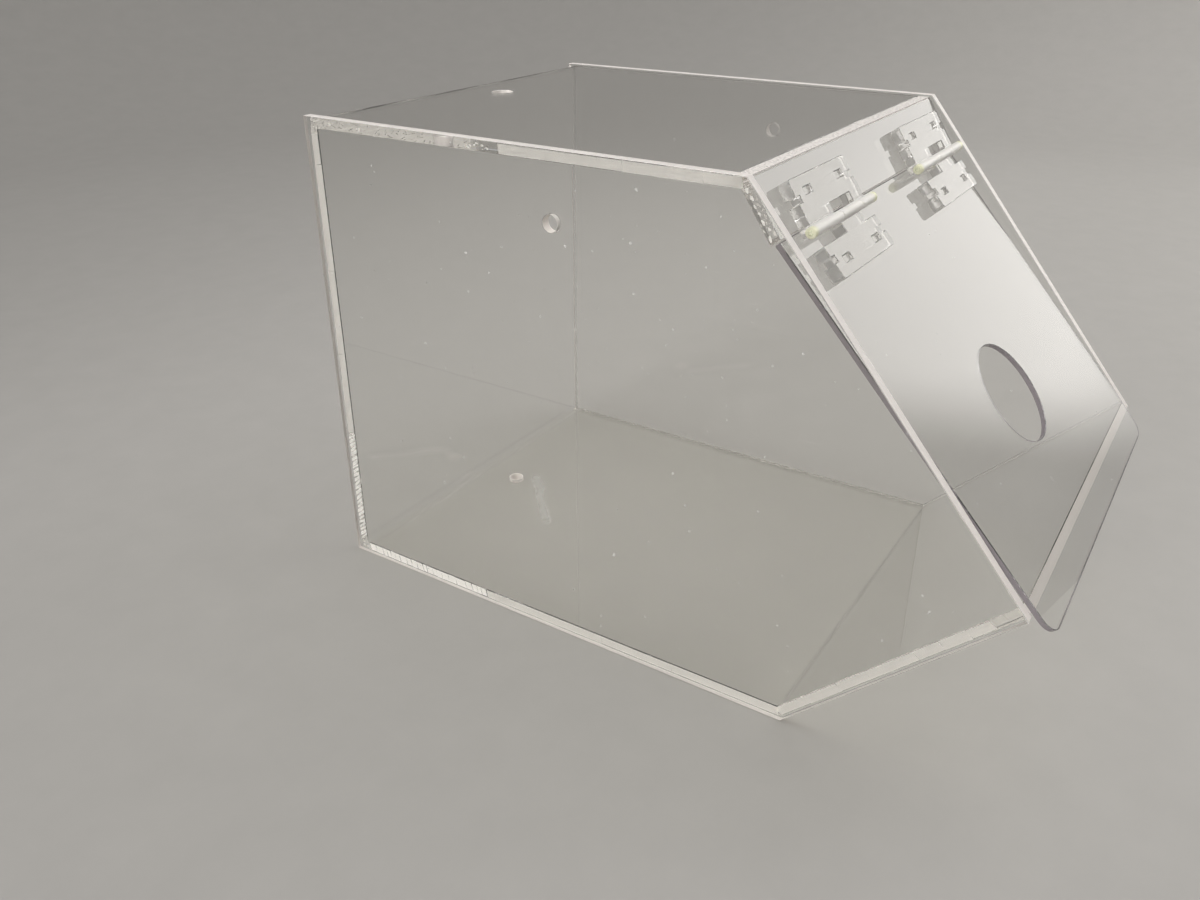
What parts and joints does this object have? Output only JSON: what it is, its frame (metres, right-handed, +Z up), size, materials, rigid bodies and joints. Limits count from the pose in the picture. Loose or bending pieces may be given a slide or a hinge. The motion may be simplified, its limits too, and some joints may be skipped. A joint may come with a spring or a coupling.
{
  "type": "clear acrylic bench enclosure",
  "caption": "Clear acrylic bench enclosure with a five-sided profile, small cable ports and a sloped lift-up door with a round access hole, hung on clear hinges.",
  "frame": {"origin": "centre of the bounding box in X and Y, at the underside of the floor, which rests on the bench", "axes": "+Z up, -Y towards the door, +X to the right of someone facing the door"},
  "size_m": [0.254, 0.412, 0.2722],
  "materials": {
    "clear_acrylic": "polished clear acrylic sheet with whitish cut edges",
    "moulded_acrylic": "clear moulded acrylic, slightly milky",
    "pin_plastic": "pale plastic pin with a faint yellow-green tint"
  },
  "bodies": {
    "enclosure": {"bent_shell": "clear_acrylic", "left_side_panel": "clear_acrylic", "right_side_panel": "clear_acrylic", "header_strip": "clear_acrylic", "left_hinge_upper_leaf": "moulded_acrylic", "right_hinge_upper_leaf": "moulded_acrylic", "left_hinge_pin": "pin_plastic", "right_hinge_pin": "pin_plastic"},
    "door": {"door": "clear_acrylic", "left_hinge_lower_leaf": "moulded_acrylic", "right_hinge_lower_leaf": "moulded_acrylic"}
  },
  "joints": [
    {"name": "door_hinge", "type": "hinge", "parent": "enclosure", "child": "door", "pos_m": [0, -0.07674, 0.24827], "axis": [-1, 0, 0], "range_deg": [0, 170]}
  ]
}
